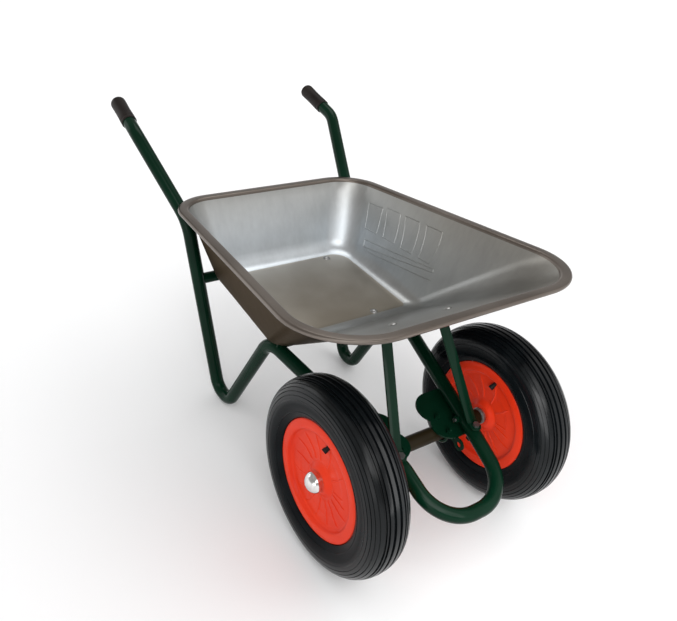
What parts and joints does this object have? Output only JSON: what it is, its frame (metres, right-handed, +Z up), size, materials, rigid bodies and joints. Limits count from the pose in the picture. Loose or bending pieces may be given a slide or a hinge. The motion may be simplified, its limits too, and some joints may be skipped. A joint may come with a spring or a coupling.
{
  "type": "two wheel wheelbarrow",
  "caption": "Garden wheelbarrow with a flared sheet metal tray on a bent tube frame with legs, handles and a front loop, rolling on a pair of air tyred wheels on one axle.",
  "frame": {"origin": "middle of the footprint, on the ground under the tyres and the feet", "axes": "+Y from the nose to the handles, +Z up, +X to the right seen from behind the nose looking to the handles"},
  "size_m": [0.6414, 1.1374, 0.5919],
  "materials": {
    "tray_zinc": "galvanised sheet with fine drawing streaks",
    "frame_green": "glossy dark green paint",
    "rim_orange": "glossy orange-red paint",
    "tyre_rubber": "moulded black rubber",
    "tube_rubber": "smooth black rubber",
    "grip_rubber": "satin dark rubber",
    "valve_rubber": "satin black rubber",
    "cap_chrome": "polished chrome",
    "bush_plastic": "natural nylon",
    "zinc_steel": "zinc plated steel"
  },
  "bodies": {
    "frame": {"tray": "tray_zinc", "left_side_tube": "frame_green", "right_side_tube": "frame_green", "front_loop": "frame_green", "left_grip": "grip_rubber", "right_grip": "grip_rubber", "rear_cross_tube": "frame_green", "rear_brackets": "frame_green", "front_tray_bar": "frame_green", "left_strut": "frame_green", "right_strut": "frame_green", "left_axle_plate": "frame_green", "right_axle_plate": "frame_green", "u_bolts": "zinc_steel", "u_bolt_nuts": "zinc_steel", "axle_tube": "frame_green", "left_spindle": "zinc_steel", "right_spindle": "zinc_steel", "thrust_washers": "zinc_steel", "split_pins": "zinc_steel", "tray_bolts": "zinc_steel", "tray_nuts": "zinc_steel", "strut_bolts": "zinc_steel", "strut_nuts": "zinc_steel", "joint_bolts": "zinc_steel", "joint_nuts": "zinc_steel"},
    "left_wheel": {"left_tyre": "tyre_rubber", "left_inner_tube": "tube_rubber", "left_rim_outer": "rim_orange", "left_rim_inner": "rim_orange", "left_hub_sleeve": "zinc_steel", "left_bushes": "bush_plastic", "left_valve": "valve_rubber", "left_hub_cap": "cap_chrome"},
    "right_wheel": {"right_tyre": "tyre_rubber", "right_inner_tube": "tube_rubber", "right_rim_outer": "rim_orange", "right_rim_inner": "rim_orange", "right_hub_sleeve": "zinc_steel", "right_bushes": "bush_plastic", "right_valve": "valve_rubber", "right_hub_cap": "cap_chrome"}
  },
  "joints": [
    {"name": "left_wheel_spin", "type": "hinge", "parent": "frame", "child": "left_wheel", "pos_m": [-0.21, -0.36765, 0.195], "axis": [1, 0, 0], "continuous": true},
    {"name": "right_wheel_spin", "type": "hinge", "parent": "frame", "child": "right_wheel", "pos_m": [0.21, -0.36765, 0.195], "axis": [1, 0, 0], "continuous": true}
  ]
}
